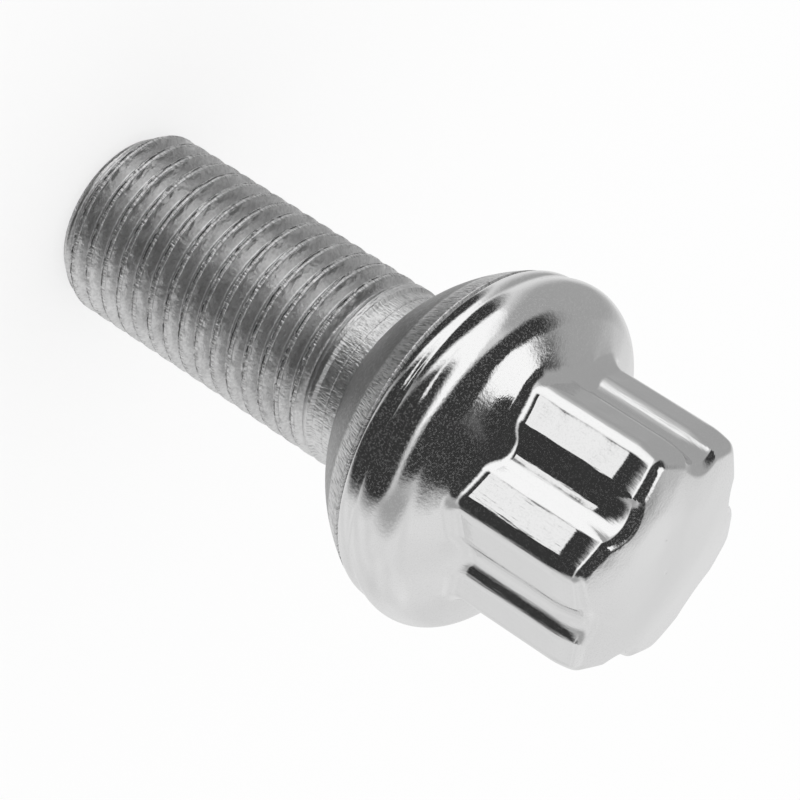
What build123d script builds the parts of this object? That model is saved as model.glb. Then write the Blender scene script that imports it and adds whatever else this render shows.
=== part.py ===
from build123d import *
import math
import os

os.makedirs("parts", exist_ok=True)

# Ball seat wheel bolt with a pressed bright cap over its head.
# It stands on its thread tip, with z running up the axis. All sizes are in millimetres and degrees.

# Shank, as wide as the crests of its thread
thread_d = 13.86
tip_chamfer_depth = 0.93
tip_chamfer_length = 1.3
shank_length = 26.3
neck_undercut = 0.21
neck_length = 1.9

# Ball seat
seat_ball_r = 14.0
seat_step = 0.78

# Flange and hexagon, measured on the outside of the cap and upwards from its rim
flange_d = 26.06
flange_edge_r = 2.77
flange_widest_height = 2.88
hex_across_flats = 16.6
hex_corner_r = 2.0
hex_base_fillet = 0.8
head_height = 18.45
head_crown_r = 28.0
head_lean_angle = 25.0
head_lean_height = 2.4

# One flute down the middle of each flat
flute_r = 2.2
flute_depth = 0.65
flute_foot_angle = 45.0
flute_foot_height = 0.3

# Cap sheet, its fit on the head and its rolled rim
cap_sheet = 0.45
cap_fit = 0.05
core_end_bevel = 1.0
rim_gap = 0.2
rim_bead_step = 0.35
rim_bead_bevel = 0.25
rim_bead_height = 1.28

# Places that follow from the sizes
crest_r = thread_d / 2
tip_r = crest_r - tip_chamfer_depth
neck_r = crest_r - neck_undercut
neck_z = shank_length - neck_length
seat_r = flange_d / 2 - seat_step
seat_ball_z = shank_length + math.sqrt(seat_ball_r**2 - neck_r**2)
seat_edge_z = seat_ball_z - math.sqrt(seat_ball_r**2 - seat_r**2)
rim_z = seat_edge_z + rim_gap
bead_r = flange_d / 2 - rim_bead_step
crease_z = rim_z + rim_bead_height
edge_r_at = flange_d / 2 - flange_edge_r
edge_z = rim_z + flange_widest_height
crease_r = edge_r_at + math.sqrt(flange_edge_r**2 - (edge_z - crease_z) ** 2)
flange_top_z = edge_z + flange_edge_r
hex_apothem = hex_across_flats / 2
head_end_z = rim_z + head_height
lean_z = head_end_z - head_lean_height
half_lean = math.tan(math.radians(head_lean_angle / 2))
core_inset = cap_sheet + cap_fit
core_apothem = hex_apothem - flute_depth - core_inset


def hexagon(inset):
    """Outline of the head's hexagon, with rounded corners."""
    outline = RegularPolygon(hex_apothem - inset, 6, major_radius=False)
    return fillet(outline.vertices(), hex_corner_r - inset)


def hexagon_bar(inset, end):
    """Hexagon of the head, whose walls lean in near its end, under the form that shapes that end."""
    lean_start_z = lean_z - inset * half_lean
    lean_in = head_lean_height * math.tan(math.radians(head_lean_angle))
    upright = extrude(Pos(0, 0, edge_z) * hexagon(inset), lean_start_z - edge_z)
    lower = Pos(0, 0, lean_start_z) * hexagon(inset)
    upper = Pos(0, 0, lean_start_z + head_lean_height) * hexagon(inset + lean_in)
    leaning = loft([lower, upper], ruled=True)
    return (upright + leaning) & end


def flutes(inset):
    """Round cutters, one on each flat, from a sloping foot up the wall and in along its leaning end."""
    foot_z = flange_top_z + hex_base_fillet + flute_foot_height
    foot_angle = math.radians(flute_foot_angle)
    foot_normal = (math.sin(foot_angle), 0, math.cos(foot_angle))
    foot = Plane(origin=(hex_apothem, 0, foot_z), z_dir=foot_normal).offset(-inset)
    bar_out = flute_r - flute_depth
    upright = Pos(hex_apothem + bar_out, 0, foot_z) * Cylinder(flute_r + inset, 2 * head_height)
    leaning = Rot(0, -head_lean_angle, 0) * Cylinder(
        flute_r + inset, head_height, align=(Align.CENTER, Align.CENTER, Align.MIN)
    )
    bend = Pos(hex_apothem + bar_out, 0, lean_z + bar_out * half_lean)
    cutters = [split(upright, foot, keep=Keep.TOP), bend * leaning]
    return [Rot(0, 0, 30 + 60 * i) * cutter for i in range(6) for cutter in cutters]


def cap_outside():
    """Domed flange with its rolled rim, and the fluted hexagon with its crowned end."""
    rim = Polyline(
        (0, rim_z),
        (bead_r - rim_bead_bevel, rim_z),
        (bead_r, rim_z + rim_bead_height / 3),
        (bead_r, rim_z + 2 * rim_bead_height / 3),
        (crease_r, crease_z),
    )
    edge = ThreePointArc((crease_r, crease_z), (flange_d / 2, edge_z), (edge_r_at, flange_top_z))
    top = Polyline((edge_r_at, flange_top_z), (0, flange_top_z), (0, rim_z))
    flange = revolve(Plane.XZ * make_face([rim, edge, top]), Axis.Z)
    crown = Pos(0, 0, head_end_z - head_crown_r) * Sphere(head_crown_r)
    fluted = hexagon_bar(0, crown) - flutes(0)
    head = flange + fluted
    return fillet(new_edges(flange, fluted, combined=head), hex_base_fillet)


def core_outline(inset):
    """Half outline of the turned core inside the flange, from its collar to the axis."""
    edge_r = flange_edge_r - inset
    collar_r = bead_r - cap_sheet - inset
    bevel = math.sqrt(2) * edge_r
    return [
        (collar_r, seat_edge_z),
        (collar_r, edge_z + edge_r_at + bevel - collar_r),
        (edge_r_at + bevel - edge_r, edge_z + edge_r),
        (0, edge_z + edge_r),
    ]


def core_hexagon():
    """Plain hexagon of the forged head, which the flutes of the cap grip on its flats."""
    outline = RegularPolygon(core_apothem, 6, major_radius=False)
    outline = fillet(outline.vertices(), hex_corner_r - core_inset)
    core = extrude(Pos(0, 0, edge_z) * outline, lean_z - core_inset - edge_z)
    return chamfer(core.faces().sort_by(Axis.Z)[-1].edges(), core_end_bevel)


def cap_inside():
    """Hollow of the cap, one sheet thickness in from its outside, with a shallow cone under the crown."""
    outline = make_face(Polyline((0, seat_edge_z), *core_outline(cap_sheet), close=True))
    corner_r_at = hex_across_flats / math.sqrt(3)
    crown_drop = head_crown_r - math.sqrt(head_crown_r**2 - corner_r_at**2)
    cone_r = head_height * corner_r_at / crown_drop
    cone = Cone(cone_r, 0, head_height, align=(Align.CENTER, Align.CENTER, Align.MAX))
    fluted = hexagon_bar(cap_sheet, Pos(0, 0, head_end_z - cap_sheet) * cone) - flutes(cap_sheet)
    return revolve(Plane.XZ * outline, Axis.Z) + fluted


def turned_body():
    """Shank, neck, ball seat and the flange's core, turned about the axis."""
    shank = Polyline(
        (0, 0),
        (tip_r, 0),
        (crest_r, tip_chamfer_length),
        (crest_r, neck_z - neck_undercut),
        (neck_r, neck_z),
        (neck_r, shank_length),
    )
    mid_angle = (math.asin(neck_r / seat_ball_r) + math.asin(seat_r / seat_ball_r)) / 2
    seat_mid = (seat_ball_r * math.sin(mid_angle), seat_ball_z - seat_ball_r * math.cos(mid_angle))
    seat = ThreePointArc((neck_r, shank_length), seat_mid, (seat_r, seat_edge_z))
    core = Polyline((seat_r, seat_edge_z), *core_outline(core_inset), (0, 0))
    return revolve(Plane.XZ * make_face([shank, seat, core]), Axis.Z)


head_cap = cap_outside() - cap_inside()
bolt_body = turned_body() + core_hexagon()

export_step(bolt_body, "parts/bolt_body.step")
export_step(head_cap, "parts/head_cap.step")
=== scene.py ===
"""Wheel bolt: a rolled zinc shank with a ball seat, and a bright pressed cap over its fluted head."""

import math

import bmesh
import bpy
import numpy as np
from bpy.props import FloatProperty, FloatVectorProperty, PointerProperty
from mathutils import Matrix, Vector


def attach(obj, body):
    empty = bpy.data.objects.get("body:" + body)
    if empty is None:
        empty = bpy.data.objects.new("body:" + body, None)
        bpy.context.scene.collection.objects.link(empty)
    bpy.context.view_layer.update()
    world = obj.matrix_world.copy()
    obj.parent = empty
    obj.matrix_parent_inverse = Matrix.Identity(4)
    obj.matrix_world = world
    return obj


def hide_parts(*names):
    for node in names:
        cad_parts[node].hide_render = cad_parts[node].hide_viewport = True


bl_info = {
    "name": "Wheel Bolt",
    "version": (1, 0, 0),
    "blender": (4, 5, 0),
    "location": "View3D > Sidebar > Wheel Bolt",
    "description": "Builds a capped wheel bolt with its rolled thread, its finishes and its studio",
    "category": "Add Mesh",
}

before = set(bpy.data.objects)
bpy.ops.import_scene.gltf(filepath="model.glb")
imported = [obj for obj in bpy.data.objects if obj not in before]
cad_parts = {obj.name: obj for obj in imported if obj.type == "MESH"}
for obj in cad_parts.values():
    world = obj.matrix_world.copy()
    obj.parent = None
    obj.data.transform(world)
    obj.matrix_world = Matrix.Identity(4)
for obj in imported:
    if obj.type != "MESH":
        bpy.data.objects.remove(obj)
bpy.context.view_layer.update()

MM = 0.001
FULL_TURN = 2 * math.pi
FLAT_TURN = FULL_TURN / 6

# Turn from the cap's wall to its crown where they meet
CROWN_TURN = math.radians(75)

# Tilts from the level at which the bead ends and the flange's round edge begins
BEAD_END = math.radians(15)
FLANGE_START = math.radians(-31)

# Place of the brow, from which the end of the head is cast: below the lean and inside the wall
BROW_DROP = 1.7 * MM
BROW_INSET = 3 * MM

# Rays that find the cap's surface: how far they look and how often they halve the distance
RAY_REACH = 14 * MM
RAY_HALVINGS = 34

# Columns of the body's mesh in one turn, and the step of the thread's section that lies in the lap
BODY_COLUMNS = 240
LAP_STEP = 7

# Marks in the finishes, as marks to the metre
GRAIN = 4200.0
DRAWN_MARKS = 420.0
SWAY = 330.0
PITS = 1100.0
SPECKS = 8000.0
BLOTCHES = 900.0
CLOUDS = 260.0
WANDER = 1500.0

# Cards and flags round the camera, in the order in which they are hung over one another.
# Each has its level, the softness of its edges in degrees, and its corners in degrees to the right
# of the camera and above it.
CARDS = {
    "low_shade": (
        "mid_level",
        12,
        [(-75, -28), (-15, -30), (40, -50), (20, -66), (-60, -58)],
    ),
    "diffuser": (
        "white_level",
        4,
        [(-140, 50), (-34, -16), (-12, 0), (14, 20), (40, 55), (100, 82), (-160, 75)],
    ),
    "grey_wall": (
        "mid_level",
        12,
        [(36, 50), (86, -18), (112, -17), (168, 22), (176, 56), (40, 72)],
    ),
    "left_flag": (
        "dark_level",
        8,
        [(-130, 8), (-85, 48), (-50, 54), (-12, 42), (-15, 12), (-36, -26), (-62, -34)],
    ),
    "front_flag": (
        "dark_level",
        8,
        [(-28, -28), (-7, 2), (28, 30), (58, 39), (86, 36), (98, -8), (64, -36), (14, -46)],
    ),
    "low_flag": (
        "dark_level",
        8,
        [(30, -20), (104, -20), (98, -42), (58, -52), (30, -44)],
    ),
    "back_flag": (
        "dark_level",
        6,
        [(-168, 34), (-172, 80), (-94, 80), (-92, 40), (-135, 18)],
    ),
    "right_card": (
        "white_level",
        3,
        [(61, -5), (69, 4), (84, 0), (97, -13), (97, -24), (73, -22)],
    ),
    "left_strip": (
        "strip_level",
        1.5,
        [(-50, 30), (-50, 63), (-39, 63), (-41, 30)],
    ),
}


def length(name, description, millimetres):
    """A size that a user may change."""
    return FloatProperty(
        name=name, description=description, default=millimetres * MM, unit="LENGTH", precision=5
    )


def angle(name, description, degrees):
    """An angle that a user may change."""
    return FloatProperty(
        name=name, description=description, default=math.radians(degrees), subtype="ANGLE"
    )


def share(name, description, value):
    """A number between nothing and all."""
    return FloatProperty(
        name=name, description=description, default=value, subtype="FACTOR", min=0, max=1
    )


def level(name, description, value):
    """A brightness, where 1 is white."""
    return FloatProperty(name=name, description=description, default=value, min=0)


def grey(name, description, value):
    """A neutral colour that a user may change."""
    return FloatVectorProperty(
        name=name, description=description, default=(value, value, value), subtype="COLOR", min=0, max=1
    )


class ShankSizes(bpy.types.PropertyGroup):
    """Sizes of the bolt's body, upwards from its tip."""

    thread_d: length("Thread diameter", "Width over the crests", 13.86)
    thread_pitch: length("Thread pitch", "Rise of one turn", 1.5)
    thread_depth: length("Thread depth", "Crest to root", 0.736)
    crest_width: length("Crest width", "Width of the rolled crest", 0.45)
    root_width: length("Root width", "Width of the groove's floor", 0.2)
    lap_depth: length("Lap depth", "Depth of the fold along the rolled crest", 0.1)
    ragged: length("Raggedness", "Wander of the rolled crest's edges", 0.035)
    thread_start: angle("Thread start", "Turn of the groove about the axis", 98.6)
    run_out: length("Run-out", "Height over which the groove fades at the neck", 1.6)
    tip_r: length("Tip radius", "Radius of the flat tip", 6.0)
    chamfer_length: length("Chamfer length", "Height of the chamfer at the tip", 1.3)
    neck_r: length("Neck radius", "Radius of the plain neck", 6.72)
    neck_z: length("Neck height", "Height at which the neck begins", 24.4)
    neck_line_z: length("Neck line", "Height of the fine line round the neck", 25.35)
    seat_z: length("Seat height", "Height at which the ball seat begins", 26.3)
    seat_ball_r: length("Seat ball radius", "Radius of the ball that the seat is part of", 14.0)
    seat_r: length("Seat radius", "Radius of the seat's outer edge", 12.25)
    seat_smooth_r: length("Smooth seat radius", "Radius to which the seat is smooth", 11.2)


class CapSizes(bpy.types.PropertyGroup):
    """Sizes of the pressed cap, on its outside."""

    sheet: length("Sheet", "Thickness of the cap's sheet", 0.45)
    fit: length("Fit", "Clearance between the sheet and the head inside it", 0.05)
    rim_z: length("Rim height", "Height of the sheet's lower edge", 32.15)
    bead_r_at: length("Bead place", "Radius at which the rolled bead is centred", 11.08)
    bead_z: length("Bead height", "Height at which the rolled bead is centred", 33.05)
    bead_r: length("Bead radius", "Radius of the rolled bead's round", 1.6)
    bead_crease: length("Bead crease", "Rounding in the crease above the bead", 0.15)
    flange_r_at: length("Flange edge place", "Radius at which the flange's round edge is centred", 10.26)
    flange_z: length("Flange edge height", "Height at which the flange's round edge is centred", 34.88)
    flange_r: length("Flange edge radius", "Radius of the flange's round edge", 2.77)
    top_slope: angle("Top slope", "Rise of the flange's top towards the hexagon", 26.0)
    base_fillet: length("Base fillet", "Fillet between flange and hexagon", 1.4)
    apothem: length("Flat distance", "Distance of the flats from the axis", 8.3)
    corner_r: length("Corner radius", "Rounding of the hexagon's corners", 1.6)
    flute_r: length("Flute radius", "Radius of the flute in each flat", 2.2)
    flute_depth: length("Flute depth", "Depth of the flute below its flat", 0.65)
    flute_lip: length("Flute lip", "Rounding along the flute's two edges", 0.35)
    flute_foot_z: length("Flute foot height", "Height at which the flute runs out", 38.6)
    flute_foot_r: length("Flute foot radius", "Rounding of the flute's foot", 0.6)
    lean_z: length("Lean height", "Height at which the wall leans in towards the end", 48.0)
    lean_angle: angle("Lean", "Turn of the wall towards the end", 20.0)
    lean_r: length("Lean radius", "Rounding between wall and lean", 6.5)
    edge_r: length("Edge radius", "Rounding between lean and end", 1.15)
    crown_r: length("Crown radius", "Radius of the crowned end", 28.0)
    end_z: length("End height", "Height of the end at the axis", 50.45)


class Finishes(bpy.types.PropertyGroup):
    """Colours and gloss of the two pieces."""

    zinc: grey("Zinc", "Colour of the zinc", 0.78)
    zinc_dull: grey("Dull zinc", "Colour of the zinc where it is dull", 0.6)
    # Rubbed bright zinc on the neck and the outer seat, and also the painted highlight on the thread's
    # lip and on the peaks of its marks
    zinc_worn_and_highlight: grey("Worn zinc", "Colour of the zinc where it is rubbed bright", 0.97)
    # Painted shade in the hollows of the zinc's marks
    zinc_pit_shade: grey("Pitted zinc", "Colour of the zinc down in its pits", 0.25)
    seat_grey: grey("Seat", "Colour of the smooth part of the ball seat", 0.42)
    # Painted shade down in the lap along the rolled crest
    lap_shade: grey("Lap", "Colour down in the lap along the rolled crest", 0.06)
    bright: grey("Bright sheet", "Colour of the polished sheet", 0.82)
    bright_roughness: share("Bright sheet roughness", "Roughness of the polished sheet", 0.07)


class Studio(bpy.types.PropertyGroup):
    """Camera, floor and light."""

    azimuth: angle("Camera azimuth", "Turn of the camera about the bolt, from the X axis", 95.0)
    elevation: angle("Camera elevation", "Height of the camera above the level", 28.07)
    roll: angle("Camera roll", "Roll that leads the bolt's axis down to the right", -122.937)
    distance: length("Camera distance", "Distance of the camera from the point it looks at", 278.58)
    lens: FloatProperty(
        name="Lens", description="Focal length over a 36 mm sensor", default=184.32, unit="CAMERA"
    )
    aim: FloatVectorProperty(
        name="Aim",
        description="Point that the camera looks at",
        default=(-0.349 * MM, -0.613 * MM, 26.388 * MM),
        subtype="TRANSLATION",
    )
    floor: grey("Floor", "Colour of the pale floor", 0.97)
    floor_white: share("Floor white", "How far the floor runs to plain white for the camera", 0.7)
    floor_reach: length("Floor reach", "Distance from the bolt to the sides of the floor", 4000.0)
    white_level: level("White level", "Brightness of the overhead diffuser", 1.12)
    strip_level: level("Strip level", "Brightness of the narrow strip on the left", 1.02)
    pale_level: level("Pale level", "Brightness of the pale walls", 0.79)
    mid_level: level("Mid level", "Brightness of the grey wall", 0.4)
    dark_level: level("Dark level", "Brightness of the black flags", 0.04)


def round_cut(a, b, r):
    """Distance to what two forms share, with the edge between them rounded."""
    edge = np.hypot(np.maximum(a + r, 0), np.maximum(b + r, 0))
    return np.minimum(-r, np.maximum(a, b)) + edge


def round_join(a, b, r):
    """Distance to two forms together, with a fillet between them."""
    return -round_cut(-a, -b, r)


def blend(r, turn):
    """Rounding that gives a true radius r where two faces meet at this turn."""
    return r * math.tan(turn / 2) * math.sin(turn)


class CapForm:
    """Outside of the cap as a field: distance from its surface, negative inside."""

    def __init__(self, sizes):
        self.s = sizes
        slope = sizes.top_slope
        self.cone_tilt = math.pi / 2 - slope
        self.cone_r = sizes.flange_r_at + sizes.flange_r * math.sin(slope)
        self.cone_z = sizes.flange_z + sizes.flange_r * math.cos(slope)

    def foot_z(self, wall_r):
        """Height at which the base fillet ends on a wall at this radius."""
        cone_z = self.cone_z + (self.cone_r - wall_r) * math.tan(self.s.top_slope)
        return cone_z + self.s.base_fillet * math.tan(self.cone_tilt / 2)

    def wall(self, x, y, z):
        """Hexagon with rounded corners and a flute down the middle of each flat."""
        s = self.s
        flat = (np.floor(np.arctan2(y, x) / FLAT_TURN) + 0.5) * FLAT_TURN
        out = x * np.cos(flat) + y * np.sin(flat)
        along = np.abs(y * np.cos(flat) - x * np.sin(flat))
        inner = s.apothem - s.corner_r
        past_corner = np.maximum(along - inner / math.sqrt(3), 0)
        hexagon = np.where(out > inner, np.hypot(out - inner, past_corner), out - inner) - s.corner_r
        flute = np.hypot(out - (s.apothem - s.flute_depth + s.flute_r), along) - s.flute_r
        foot = (s.flute_foot_z - z - out + s.apothem) * math.sqrt(0.5)
        flute = round_cut(flute, foot, s.flute_foot_r)
        return round_cut(hexagon, -flute, s.flute_lip)

    def flange(self, r, z):
        """Flange with its round edge and sloping top, and the rolled bead below it."""
        s = self.s
        out, up = r - s.flange_r_at, z - s.flange_z
        along = out * math.cos(s.top_slope) - up * math.sin(s.top_slope)
        off = out * math.sin(s.top_slope) + up * math.cos(s.top_slope)
        edge = np.hypot(np.maximum(along, 0), off) - s.flange_r
        bead = np.hypot(np.maximum(r - s.bead_r_at, 0), z - s.bead_z) - s.bead_r
        return round_join(edge, bead, s.bead_crease)

    def head(self, x, y, r, z):
        """Fluted wall that leans in near its end, turns sharply and closes in a crown."""
        s = self.s
        wall = self.wall(x, y, z)
        lean = wall * math.cos(s.lean_angle) + (z - s.lean_z) * math.sin(s.lean_angle)
        side = round_cut(wall, lean, blend(s.lean_r, s.lean_angle))
        crown = np.hypot(r, z - s.end_z + s.crown_r) - s.crown_r
        return round_cut(side, crown, blend(s.edge_r, CROWN_TURN - s.lean_angle))

    def __call__(self, points):
        x, y, z = points[..., 0], points[..., 1], points[..., 2]
        r = np.hypot(x, y)
        fillet = blend(self.s.base_fillet, self.cone_tilt)
        return round_join(self.flange(r, z), self.head(x, y, r, z), fillet)

    def normals(self, points):
        """Outward directions of the field."""
        step = 2e-4 * MM
        slopes = [self(points + step * axis) - self(points - step * axis) for axis in np.eye(3)]
        slopes = np.stack(slopes, axis=-1)
        return slopes / np.linalg.norm(slopes, axis=-1, keepdims=True)

    def cast(self, r, z, tilt, angles, depth=0.0):
        """Points where rays in the axis planes leave the form, or its inside at a depth.
        Each ray starts at radius r and height z, and rises by tilt from the radial direction."""
        outward = np.stack([np.cos(angles), np.sin(angles), np.zeros_like(angles)], axis=-1)
        up = np.array([0.0, 0.0, 1.0])
        r, z, tilt = (np.broadcast_to(v, angles.shape)[..., None] for v in (r, z, tilt))
        start = r * outward + z * up
        way = np.cos(tilt) * outward + np.sin(tilt) * up
        near = np.zeros(angles.shape)
        far = np.full(angles.shape, RAY_REACH)
        for _ in range(RAY_HALVINGS):
            half = (near + far) / 2
            inside = self(start + half[..., None] * way) < -depth
            near = np.where(inside, half, near)
            far = np.where(inside, far, half)
        return start + near[..., None] * way


def spaced(start, stop, count):
    """Even steps from start to just before stop."""
    return np.linspace(start, stop, count, endpoint=False)


def cap_angles():
    """Angles about the axis, closer together at the flutes' edges and the hexagon's corners."""
    steps = [spaced(0, 8, 5), spaced(8, 14, 8), spaced(14, 22.5, 5), spaced(22.5, 30, 8)]
    half_flat = np.radians(np.concatenate(steps))
    flat = np.concatenate([-half_flat[:0:-1], half_flat, [FLAT_TURN / 2]])
    return np.concatenate([flat + (i + 0.5) * FLAT_TURN for i in range(6)])


def cap_rings(form, depth, finer):
    """Rings of the cap from its rim to its end, on the outside or at a depth inside it."""
    s = form.s
    angles = cap_angles()
    brow_z = s.lean_z - BROW_DROP
    wall_r = np.linalg.norm(form.cast(0, brow_z, 0, angles)[:, :2], axis=-1)
    brow_r = wall_r - BROW_INSET
    foot_z = form.foot_z(wall_r)
    rim_tilt = math.asin((s.rim_z - s.bead_z) / s.bead_r)
    cone_end = (wall_r + s.base_fillet - form.cone_r) / math.cos(s.top_slope)
    back = 2 * s.base_fillet
    rays = []
    for tilt in spaced(rim_tilt, BEAD_END, 4 * finer):
        rays.append((s.bead_r_at, s.bead_z, tilt))
    for tilt in spaced(FLANGE_START, form.cone_tilt, 12 * finer):
        rays.append((s.flange_r_at, s.flange_z, tilt))
    for part in spaced(0, 1, 2 * finer):
        inward = part * cone_end
        r = s.flange_r_at + inward * math.cos(s.top_slope)
        rays.append((r, s.flange_z - inward * math.sin(s.top_slope), form.cone_tilt))
    for tilt in spaced(form.cone_tilt, 0, 6 * finer):
        r = wall_r + s.base_fillet - back * math.cos(tilt)
        rays.append((r, foot_z - back * math.sin(tilt), tilt))
    for part in np.concatenate([spaced(0, 0.2, 4 * finer), spaced(0.2, 1, 5 * finer)]):
        rays.append((0, foot_z + part * (brow_z - foot_z), 0))
    turns = [spaced(0, 24, 6 * finer), spaced(24, 54, 7 * finer), spaced(54, 90, 4 * finer)]
    for tilt in np.radians(np.concatenate(turns)):
        rays.append((brow_r, brow_z, tilt))
    for part in spaced(1, 0.02, 4 * finer):
        rays.append((part * brow_r, brow_z, math.pi / 2))
    return np.array([form.cast(r, z, tilt, angles, depth) for r, z, tilt in rays])


def ring(r, z, angles):
    """Points about the axis at a radius and a height."""
    return np.stack([r * np.cos(angles), r * np.sin(angles), 0 * angles + z], axis=-1)


def ring_faces(ring_count, columns, first=0):
    """Quads between rings of points that follow one another."""
    rows = np.arange(ring_count - 1)[:, None] * columns + first
    here = np.arange(columns)[None, :]
    there = (here + 1) % columns
    quads = [rows + here, rows + there, rows + columns + there, rows + columns + here]
    return np.stack(quads, axis=-1).reshape(-1, 4).tolist()


def fan_faces(centre, ring_start, columns, upward):
    """Triangles from a centre point to a ring."""
    pairs = [(ring_start + j, ring_start + (j + 1) % columns) for j in range(columns)]
    return [(centre, a, b) if upward else (centre, b, a) for a, b in pairs]


def new_piece(name, points, faces, material):
    """Mesh object with smooth faces and one material."""
    mesh = bpy.data.meshes.new(name)
    mesh.from_pydata(points, [], faces)
    mesh.shade_smooth()
    mesh.materials.append(material)
    piece = bpy.data.objects.new(name, mesh)
    bpy.context.scene.collection.objects.link(piece)
    return piece


def cap_piece(sizes, material):
    """Pressed cap: outside, inside and the sheet's edge between them."""
    form = CapForm(sizes)
    outside = cap_rings(form, 0.0, 3)
    inside = cap_rings(form, sizes.sheet, 1)[::-1]
    columns = outside.shape[1]
    ends = np.array([[0, 0, sizes.end_z], [0, 0, sizes.end_z - sizes.sheet]])
    rings = np.concatenate([inside, outside])
    points = np.concatenate([rings.reshape(-1, 3), ends])
    end = len(rings) * columns
    faces = ring_faces(len(rings), columns)
    faces += fan_faces(end, end - columns, columns, True)
    faces += fan_faces(end + 1, 0, columns, False)
    piece = new_piece("bright_cap", points.tolist(), faces, material)
    up = np.array([[0.0, 0.0, 1.0]])
    facing = [-form.normals(inside).reshape(-1, 3), form.normals(outside).reshape(-1, 3), up, -up]
    piece.data.normals_split_custom_set_from_vertices(np.concatenate(facing).tolist())
    return piece


def thread_lead(sizes):
    """Height of a groove root on the side of the X axis."""
    return sizes.thread_start / FULL_TURN * sizes.thread_pitch


def thread_flank(sizes):
    """Height that one flank of the thread takes up."""
    return (sizes.thread_pitch - sizes.crest_width - sizes.root_width) / 2


def crest_phases(sizes):
    """Where the crest begins and ends, as parts of one pitch from root to root."""
    start = sizes.root_width / 2 + thread_flank(sizes)
    return start / sizes.thread_pitch, (start + sizes.crest_width) / sizes.thread_pitch


def thread_section(sizes):
    """One pitch of the thread from root to root: heights up the axis and depths below the crest."""
    half_root = sizes.root_width / 2
    flank = thread_flank(sizes)
    crest = half_root + flank
    crest_end = crest + sizes.crest_width
    steps = np.array([
        (0.0, 1.0),
        (half_root * 0.7, 0.99),
        (half_root, 0.94),
        (half_root + 0.5 * flank, 0.5),
        (half_root + 0.9 * flank, 0.1),
        (crest, 0.03),
        (crest + 0.12 * sizes.crest_width, 0.0),
        (crest + 0.26 * sizes.crest_width, 0.051),
        (crest + 0.38 * sizes.crest_width, 0.02),
        (crest + 0.62 * sizes.crest_width, 0.0),
        (crest + 0.84 * sizes.crest_width, 0.015),
        (crest_end, 0.07),
        (crest_end + 0.12 * flank, 0.15),
        (crest_end + 0.5 * flank, 0.5),
        (crest_end + flank, 0.94),
        (crest_end + flank + half_root * 0.3, 0.99),
    ])
    return steps[:, 0], steps[:, 1] * sizes.thread_depth


def rolled_wander(shape):
    """Uneven steps from -1 to 1 along the thread, from a fixed seed."""
    steps = np.random.default_rng(7).uniform(-1, 1, shape)
    soft = (np.roll(steps, 1, axis=1) + 2 * steps + np.roll(steps, -1, axis=1)) / 4
    return np.clip(1.6 * soft, -1, 1)


def thread_coil(sizes, thread_top):
    """Points of the rolled thread: one row along the helix for each step of its section."""
    crest_r = sizes.thread_d / 2
    rises, depths = thread_section(sizes)
    turns = math.ceil(thread_top / sizes.thread_pitch) + 3
    turn_at = np.arange(turns * BODY_COLUMNS)[None, :] / BODY_COLUMNS
    wander = rolled_wander((len(rises), turns * BODY_COLUMNS))
    on_crest = (depths < 0.35 * sizes.thread_depth)[:, None]
    in_lap = (np.arange(len(rises)) == LAP_STEP)[:, None]
    dash = np.clip(wander[3] * 1.5 + 0.35, 0, 1)
    depth = depths[:, None] + on_crest * wander * 0.5 * sizes.ragged + in_lap * dash * sizes.lap_depth
    rise = rises[:, None] + on_crest * wander[::-1] * sizes.ragged
    start = thread_lead(sizes) - 2 * sizes.thread_pitch
    z = np.clip(start + turn_at * sizes.thread_pitch + rise, 0, thread_top)
    fade = np.clip((thread_top - z) / sizes.run_out, 0, 1)
    chamfer = sizes.tip_r + (crest_r - sizes.tip_r) * z / sizes.chamfer_length
    r = np.minimum(crest_r - np.maximum(depth, 0) * fade, chamfer)
    return ring(r, z, turn_at * FULL_TURN)


def coil_faces(rows, along):
    """Quads between the coil's rows, the last of which meets the first one a turn further on."""
    faces = []
    for row in range(rows):
        last = row + 1 == rows
        here = row * along
        there = BODY_COLUMNS if last else here + along
        count = along - 1 - BODY_COLUMNS if last else along - 1
        faces += [(here + j, here + j + 1, there + j + 1, there + j) for j in range(count)]
    return faces


def neck_outline(sizes, thread_top):
    """Radii and heights from the end of the thread over the neck and its fine line to the seat."""
    line = 0.06 * MM
    return [
        (sizes.thread_d / 2, thread_top),
        (sizes.neck_r, sizes.neck_z),
        (sizes.neck_r, sizes.neck_z + line),
        (sizes.neck_r, sizes.neck_line_z - 2 * line),
        (sizes.neck_r, sizes.neck_line_z - line),
        (sizes.neck_r - line, sizes.neck_line_z),
        (sizes.neck_r, sizes.neck_line_z + line),
        (sizes.neck_r, sizes.neck_line_z + 2 * line),
        (sizes.neck_r, sizes.seat_z - line),
        (sizes.neck_r, sizes.seat_z),
    ]


def seat_outline(sizes):
    """Radii and heights of the ball seat, from the neck to its outer edge."""
    ball_r = sizes.seat_ball_r
    ball_z = sizes.seat_z + math.sqrt(ball_r**2 - sizes.neck_r**2)
    low, high = math.asin(sizes.neck_r / ball_r), math.asin(sizes.seat_r / ball_r)
    turns = np.linspace(low, high, 30)[1:]
    return [(ball_r * math.sin(turn), ball_z - ball_r * math.cos(turn)) for turn in turns]


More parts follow.
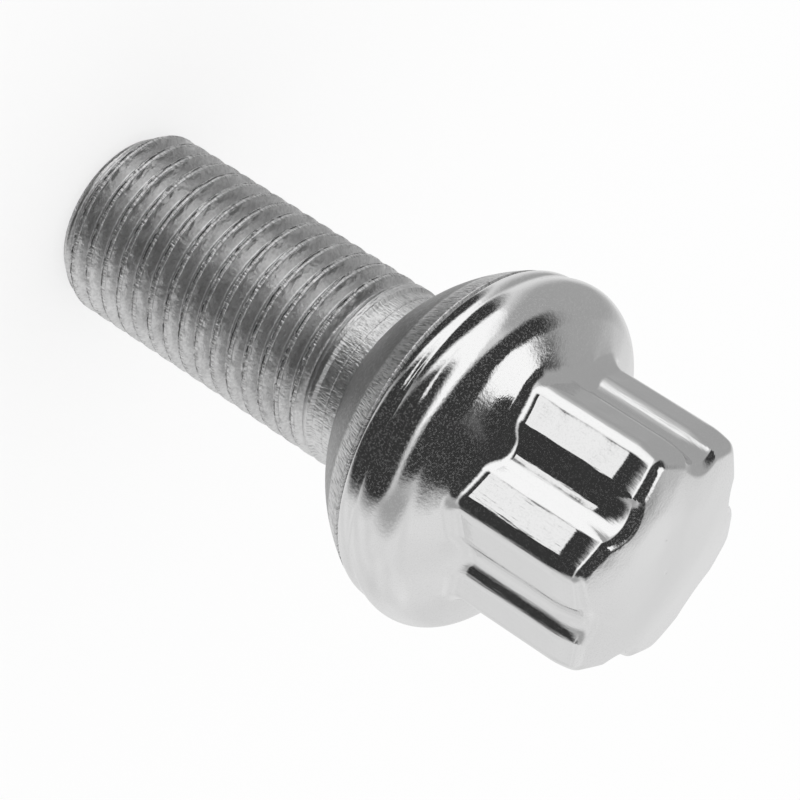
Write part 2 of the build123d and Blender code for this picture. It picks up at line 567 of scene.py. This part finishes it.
def body_rings(sizes, cap, thread_top, angles):
    """Plain rings of the body above its thread: neck, seat, collar and the hexagon core in the cap."""
    inset = cap.sheet + cap.fit
    round_r = cap.flange_r - inset
    bevel = math.sqrt(2) * round_r
    collar_r = cap.bead_r_at + cap.bead_r - cap.sheet - inset
    core_top = cap.flange_z + round_r
    outline = neck_outline(sizes, thread_top) + seat_outline(sizes)
    outline += [
        (collar_r, outline[-1][1]),
        (collar_r, cap.flange_z + cap.flange_r_at + bevel - collar_r),
        (cap.flange_r_at + bevel - round_r, core_top),
    ]
    flat_r = cap.apothem - cap.flute_depth - inset
    hexagon_r = np.minimum(flat_r / np.cos(angles % FLAT_TURN - FLAT_TURN / 2), 1.1 * flat_r)
    outline += [
        (hexagon_r, core_top),
        (hexagon_r, cap.lean_z - 1.35 * MM),
        (hexagon_r - 1 * MM, cap.lean_z - 0.35 * MM),
    ]
    return np.array([ring(r, z, angles) for r, z in outline])


def weld(mesh):
    """Joins points that lie together and turns all faces outwards."""
    work = bmesh.new()
    work.from_mesh(mesh)
    bmesh.ops.remove_doubles(work, verts=work.verts, dist=0.004 * MM)
    bmesh.ops.recalc_face_normals(work, faces=work.faces)
    work.to_mesh(mesh)
    work.free()


def body_piece(sizes, cap, material):
    """Bolt's body: rolled thread, neck, ball seat, collar and the core inside the cap."""
    angles = np.arange(BODY_COLUMNS) / BODY_COLUMNS * FULL_TURN
    thread_top = sizes.neck_z - (sizes.thread_d / 2 - sizes.neck_r)
    coil = thread_coil(sizes, thread_top)
    rings = body_rings(sizes, cap, thread_top, angles)
    ends = np.array([[0, 0, 0], [0, 0, rings[-1, 0, 2]]])
    tip_ring = ring(sizes.tip_r, 0, angles)
    points = np.concatenate([coil.reshape(-1, 3), rings.reshape(-1, 3), ends, tip_ring])
    rows, along = coil.shape[:2]
    first = rows * along
    tip = first + len(rings) * BODY_COLUMNS
    faces = coil_faces(rows, along)
    faces += ring_faces(len(rings), BODY_COLUMNS, first)
    faces += fan_faces(tip, tip + 2, BODY_COLUMNS, False)
    faces += fan_faces(tip + 1, tip - BODY_COLUMNS, BODY_COLUMNS, True)
    piece = new_piece("zinc_body", points.tolist(), faces, material)
    weld(piece.data)
    return piece


class Wire:
    """One output of a node, so that shader maths reads as plain expressions."""

    def __init__(self, graph, socket):
        self.graph = graph
        self.socket = socket

    def maths(self, operation, *values):
        """A Math node on these values."""
        return self.graph.add("ShaderNodeMath", {"operation": operation}, dict(enumerate(values)))

    def __add__(self, other):
        return self.maths("ADD", self, other)

    def __radd__(self, other):
        return self.maths("ADD", other, self)

    def __sub__(self, other):
        return self.maths("SUBTRACT", self, other)

    def __rsub__(self, other):
        return self.maths("SUBTRACT", other, self)

    def __mul__(self, other):
        return self.maths("MULTIPLY", self, other)

    def __rmul__(self, other):
        return self.maths("MULTIPLY", other, self)

    def __truediv__(self, other):
        return self.maths("DIVIDE", self, other)

    def __rtruediv__(self, other):
        return self.maths("DIVIDE", other, self)

    def root(self):
        """Square root."""
        return self.maths("SQRT", self)

    def turn_from(self, x):
        """Turn about the axis of a point with this y and the given x."""
        return self.maths("ARCTAN2", self, x)

    def fraction(self):
        """What is left over a whole number."""
        return self.maths("FRACT", self)

    def dot(self, vector):
        """How far a vector reaches along another."""
        return self.graph.add(
            "ShaderNodeVectorMath", {"operation": "DOT_PRODUCT"}, {0: self, 1: vector}, "Value"
        )

    def smooth(self, low, high):
        """0 below low, 1 above high and a soft step between them."""
        return self.graph.add(
            "ShaderNodeMapRange",
            {"interpolation_type": "SMOOTHSTEP"},
            {"Value": self, "From Min": low, "From Max": high},
        )

    def between(self, low, high, soft):
        """1 between two limits, with soft ends."""
        return self.smooth(low - soft, low + soft) * (1 - self.smooth(high - soft, high + soft))


class Graph:
    """A node tree that is written as expressions."""

    def __init__(self, tree):
        self.tree = tree
        tree.nodes.clear()

    def add(self, kind, settings=None, sockets=None, output=0):
        """A node of this kind with its settings, then its values and links. Gives one output."""
        node = self.tree.nodes.new(kind)
        for name, value in (settings or {}).items():
            setattr(node, name, value)
        for name, value in (sockets or {}).items():
            if isinstance(value, Wire):
                self.tree.links.new(value.socket, node.inputs[name])
            else:
                node.inputs[name].default_value = value
        return Wire(self, node.outputs[output]) if node.outputs else None

    def noise(self, place, scale, detail=2.0, roughness=0.5):
        """Even noise from 0 to 1 about a place."""
        return self.add(
            "ShaderNodeTexNoise",
            None,
            {"Vector": place, "Scale": scale, "Detail": detail, "Roughness": roughness},
        )

    def parts(self, vector):
        """The three numbers of a vector."""
        return [self.add("ShaderNodeSeparateXYZ", None, {0: vector}, axis) for axis in range(3)]

    def vector(self, x, y, z):
        """A vector from three numbers."""
        return self.add("ShaderNodeCombineXYZ", None, {0: x, 1: y, 2: z})

    def mix(self, factor, low, high):
        """One colour run into another."""
        return self.add("ShaderNodeMix", {"data_type": "RGBA"}, {0: factor, 6: low, 7: high}, 2)

    def bump(self, strength, depth, height):
        """Directions of a surface that a height raises."""
        sockets = {"Strength": strength, "Distance": depth, "Height": height}
        return self.add("ShaderNodeBump", None, sockets)

    def metal(self, colour, metallic, roughness, normal):
        """Metal surface on the material's output."""
        sockets = {
            "Base Color": colour,
            "Metallic": metallic,
            "Roughness": roughness,
            "Normal": normal,
        }
        shader = self.add("ShaderNodeBsdfPrincipled", None, sockets)
        self.add("ShaderNodeOutputMaterial", None, {"Surface": shader})


def rgba(colour):
    """A colour with full opacity."""
    return (*colour, 1.0)


def new_material(name):
    """Empty node material and its graph."""
    material = bpy.data.materials.new(name)
    material.use_nodes = True
    return material, Graph(material.node_tree)


def bright_sheet(finishes, sizes):
    """Polished pressed sheet: fine grain, drawing marks up its walls and a few pits in its end."""
    material, graph = new_material("bright_sheet")
    place = graph.add("ShaderNodeTexCoord", output="Object")
    x, y, z = graph.parts(place)
    wall = z.between(sizes.flute_foot_z, sizes.lean_z + 1 * MM, 0.5 * MM)
    end = z.smooth(sizes.lean_z + 1.5 * MM, sizes.lean_z + 2.2 * MM)
    grain = graph.noise(place, GRAIN)
    drawn = graph.noise(graph.vector(x * GRAIN, y * GRAIN, z * DRAWN_MARKS), 1.0)
    sway = graph.noise(place, SWAY, 1.0)
    pits = graph.noise(place, PITS, 1.0).smooth(0.72, 0.78) * end
    speck = graph.noise(place, SPECKS, 0.0).smooth(0.5, 0.7) * (1 - end) * (1 - 0.6 * wall)
    height = grain * (1 - 0.6 * end - 0.7 * wall) + drawn * wall * 1.7 + sway * 10.0 - pits * 4.0
    graph.metal(
        rgba(finishes.bright),
        1 - speck * 0.08,
        finishes.bright_roughness + speck * 0.06,
        graph.bump(0.22, 0.03 * MM, height),
    )
    return material


def rolled_zinc(finishes, sizes):
    """Matt zinc over rolled thread, streaked neck and ball seat."""
    material, graph = new_material("rolled_zinc")
    place = graph.add("ShaderNodeTexCoord", output="Object")
    x, y, z = graph.parts(place)
    r = (x * x + y * y).root()
    around = y.turn_from(x) * (1 / FULL_TURN)

    # Marks: streaks combed along the axis, closer together on the seat, then grain, blotches and clouds
    seat_side = r.smooth(8 * MM, 10 * MM)
    teeth = 46.0 + 40.0 * seat_side
    lengthways = (z + r) * (1700.0 - 800.0 * seat_side)
    comb = graph.noise(graph.vector(x / r * teeth, y / r * teeth, lengthways), 1.0)
    grain = graph.noise(place, GRAIN, 3.0)
    blotch = graph.noise(place, BLOTCHES, 3.0)
    cloud = graph.noise(place, CLOUDS)

    # Thread: its rolled crest, the broken lap along it and a painted highlight line on the lip beside
    # the lap
    wander = (graph.noise(place, WANDER, 1.0) - 0.5) * 0.06
    phase = ((z - thread_lead(sizes)) * (1 / sizes.thread_pitch) - around + wander).fraction()
    crest_from, crest_to = crest_phases(sizes)
    threaded = 1 - z.smooth(sizes.neck_z - 1.0 * MM, sizes.neck_z - 0.6 * MM)
    crest = phase.between(crest_from, crest_to, 0.03) * threaded
    dash = graph.noise(place, BLOTCHES, 4.0, 0.65).smooth(0.45, 0.56)
    lap = phase.between(crest_from + 0.06, crest_from + 0.1, 0.025) * threaded * dash
    painted_lip_highlight = phase.between(crest_from - 0.01, crest_from + 0.03, 0.02) * threaded
    painted_lip_highlight = painted_lip_highlight * grain.smooth(0.35, 0.65)

    # Neck, smooth inner seat and combed outer seat
    neck = z.between(sizes.neck_z - 0.25 * MM, sizes.seat_z, 0.1 * MM)
    outer_seat = r.smooth(sizes.seat_smooth_r - 0.15 * MM, sizes.seat_smooth_r + 0.15 * MM)
    smooth_seat = z.smooth(sizes.seat_z, sizes.seat_z + 0.2 * MM) * (1 - outer_seat)
    rough = crest * 0.75 + neck * 0.6 + outer_seat * 0.8 + 0.05

    # Relief and colour, from dull to rubbed bright, with painted shade in the pits and laps and painted
    # highlights on the peaks and the lip
    texture = comb * rough + grain * (1 - rough)
    height = texture * (0.38 + 0.9 * rough) + blotch * 0.1 - lap * 1.5
    shine = (cloud * 0.6 + blotch * 0.4).smooth(0.3, 0.7)
    worn_and_highlight = rgba(finishes.zinc_worn_and_highlight)
    # Painted highlight: the peaks of the marks are lightened towards bright zinc
    painted_peak_highlight = texture.smooth(0.5, 0.64) * (0.16 + 0.6 * rough)
    # Painted shade: the hollows of the marks are darkened
    painted_pit_shade = texture.smooth(0.5, 0.36) * (0.14 + 0.5 * rough)
    colour = graph.mix(shine, rgba(finishes.zinc_dull), rgba(finishes.zinc))
    colour = graph.mix(smooth_seat * 0.75, colour, rgba(finishes.seat_grey))
    # Neck and outer seat rubbed bright, and a painted highlight along the lip
    colour = graph.mix(painted_lip_highlight * 0.35 + neck * 0.3 + outer_seat * 0.6, colour, worn_and_highlight)
    colour = graph.mix(painted_peak_highlight, colour, worn_and_highlight)
    colour = graph.mix(painted_pit_shade, colour, rgba(finishes.zinc_pit_shade))
    # Painted shade: the lap is darkened almost to black
    colour = graph.mix(lap * 0.9, colour, rgba(finishes.lap_shade))
    graph.metal(
        colour,
        0.95,
        0.28 + 0.1 * rough + 0.18 * smooth_seat,
        graph.bump(0.8, 0.13 * MM, height),
    )
    return material


class WHEELBOLT_OT_body(bpy.types.Operator):
    """Build the threaded body with its ball seat"""

    bl_idname = "wheelbolt.body"
    bl_label = "Body"

    def execute(self, context):
        scene = context.scene
        material = rolled_zinc(scene.bolt_finishes, scene.bolt_shank)
        piece = body_piece(scene.bolt_shank, scene.bolt_cap, material)
        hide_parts("bolt_body")
        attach(piece, "root")
        return {"FINISHED"}


class WHEELBOLT_OT_cap(bpy.types.Operator):
    """Build the bright pressed cap over the flange and head"""

    bl_idname = "wheelbolt.cap"
    bl_label = "Cap"

    def execute(self, context):
        scene = context.scene
        material = bright_sheet(scene.bolt_finishes, scene.bolt_cap)
        piece = cap_piece(scene.bolt_cap, material)
        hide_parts("head_cap")
        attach(piece, "root")
        return {"FINISHED"}


def camera_turn(studio):
    """Rotation of the camera at its azimuth, elevation and roll, and the way back to it."""
    back = Vector((
        math.cos(studio.elevation) * math.cos(studio.azimuth),
        math.cos(studio.elevation) * math.sin(studio.azimuth),
        math.sin(studio.elevation),
    ))
    level_turn = back.to_track_quat("Z", "Y").to_matrix()
    return level_turn @ Matrix.Rotation(-studio.roll, 3, "Z"), back


def place_camera(studio):
    """Camera at the angle of a product shot, with the head towards it."""
    turn, back = camera_turn(studio)
    data = bpy.data.cameras.new("camera")
    data.lens = studio.lens
    data.sensor_width = 36.0
    data.clip_start = 10 * MM
    camera = bpy.data.objects.new("camera", data)
    camera.matrix_world = Matrix.LocRotScale(Vector(studio.aim) + studio.distance * back, turn, None)
    bpy.context.scene.collection.objects.link(camera)
    bpy.context.scene.camera = camera


def lay_floor(studio):
    """Pale floor under the tip. Polished metal looks past it at the studio's walls."""
    material, graph = new_material("pale_floor")
    matt = graph.add("ShaderNodeBsdfDiffuse", None, {"Color": rgba(studio.floor)})
    white = graph.add("ShaderNodeEmission", None, {"Color": (1.0, 1.0, 1.0, 1.0), "Strength": 1.0})
    seen = graph.add("ShaderNodeLightPath", output="Is Camera Ray")
    lifted = graph.add("ShaderNodeMixShader", None, {0: seen * studio.floor_white, 1: matt, 2: white})
    clear = graph.add("ShaderNodeBsdfTransparent")
    shiny = graph.add("ShaderNodeLightPath", output="Is Glossy Ray")
    surface = graph.add("ShaderNodeMixShader", None, {0: shiny, 1: lifted, 2: clear})
    graph.add("ShaderNodeOutputMaterial", None, {"Surface": surface})
    reach = studio.floor_reach
    corners = [(-reach, -reach, 0), (reach, -reach, 0), (reach, reach, 0), (-reach, reach, 0)]
    floor = new_piece("floor", corners, [(0, 1, 2, 3)], material)


def hung(way, turn, corners, soft):
    """Mask of a card or flag, hung by its corners in front of a camera with this turn."""
    rays = []
    for right, above in corners:
        side, lift = math.radians(right), math.radians(above)
        ray = Vector((math.sin(side) * math.cos(lift), math.sin(lift), math.cos(side) * math.cos(lift)))
        rays.append(turn @ ray)
    middle = sum(rays, Vector((0, 0, 0)))
    fade = math.sin(math.radians(soft))
    mask = 1
    for here, there in zip(rays, rays[1:] + rays[:1]):
        edge = here.cross(there).normalized()
        if edge.dot(middle) < 0:
            edge = -edge
        mask = way.dot(edge).smooth(-fade, fade) * mask
    return mask


def light_studio(studio):
    """Even white light, with the cards and flags that polished metal shows."""
    world = bpy.data.worlds.new("studio")
    bpy.context.scene.world = world
    world.use_nodes = True
    graph = Graph(world.node_tree)
    way = graph.add("ShaderNodeTexCoord", output="Generated")
    turn, _ = camera_turn(studio)
    shade = studio.pale_level * (0.86 + 0.28 * graph.noise(way, 2.2, 1.0))
    for level_name, soft, corners in CARDS.values():
        brightness = getattr(studio, level_name)
        shade = shade + (brightness - shade) * hung(way, turn, corners, soft)
    shiny = graph.add("ShaderNodeLightPath", output="Is Glossy Ray")
    light = 1 + (shade - 1) * shiny
    background = graph.add("ShaderNodeBackground", None, {"Color": light})
    graph.add("ShaderNodeOutputWorld", None, {"Surface": background})


class WHEELBOLT_OT_stage(bpy.types.Operator):
    """Set the camera, the pale floor and the studio's light"""

    bl_idname = "wheelbolt.stage"
    bl_label = "Stage"

    def execute(self, context):
        studio = context.scene.bolt_studio
        place_camera(studio)
        lay_floor(studio)
        light_studio(studio)
        context.scene.view_settings.view_transform = "Standard"
        return {"FINISHED"}


class WHEELBOLT_PT_panel(bpy.types.Panel):
    """List the bolt's builders in the sidebar"""

    bl_idname = "WHEELBOLT_PT_panel"
    bl_label = "Wheel Bolt"
    bl_space_type = "VIEW_3D"
    bl_region_type = "UI"
    bl_category = "Wheel Bolt"

    def draw(self, context):
        for operator in OPERATORS:
            self.layout.operator(operator.bl_idname)
        for name in SETTINGS:
            group = getattr(context.scene, name)
            box = self.layout.box()
            for size in group.bl_rna.properties.keys():
                if size not in ("rna_type", "name"):
                    box.prop(group, size)


OPERATORS = (WHEELBOLT_OT_body, WHEELBOLT_OT_cap, WHEELBOLT_OT_stage)
SETTINGS = {
    "bolt_shank": ShankSizes,
    "bolt_cap": CapSizes,
    "bolt_finishes": Finishes,
    "bolt_studio": Studio,
}


def register():
    for group in SETTINGS.values():
        bpy.utils.register_class(group)
    for name, group in SETTINGS.items():
        setattr(bpy.types.Scene, name, PointerProperty(type=group))
    for operator in OPERATORS:
        bpy.utils.register_class(operator)
    bpy.utils.register_class(WHEELBOLT_PT_panel)


def unregister():
    bpy.utils.unregister_class(WHEELBOLT_PT_panel)
    for operator in reversed(OPERATORS):
        bpy.utils.unregister_class(operator)
    for name in SETTINGS:
        delattr(bpy.types.Scene, name)
    for group in reversed(SETTINGS.values()):
        bpy.utils.unregister_class(group)


def main():
    register()
    bpy.ops.wheelbolt.body()
    bpy.ops.wheelbolt.cap()
    bpy.ops.wheelbolt.stage()


if __name__ == "__main__":
    main()
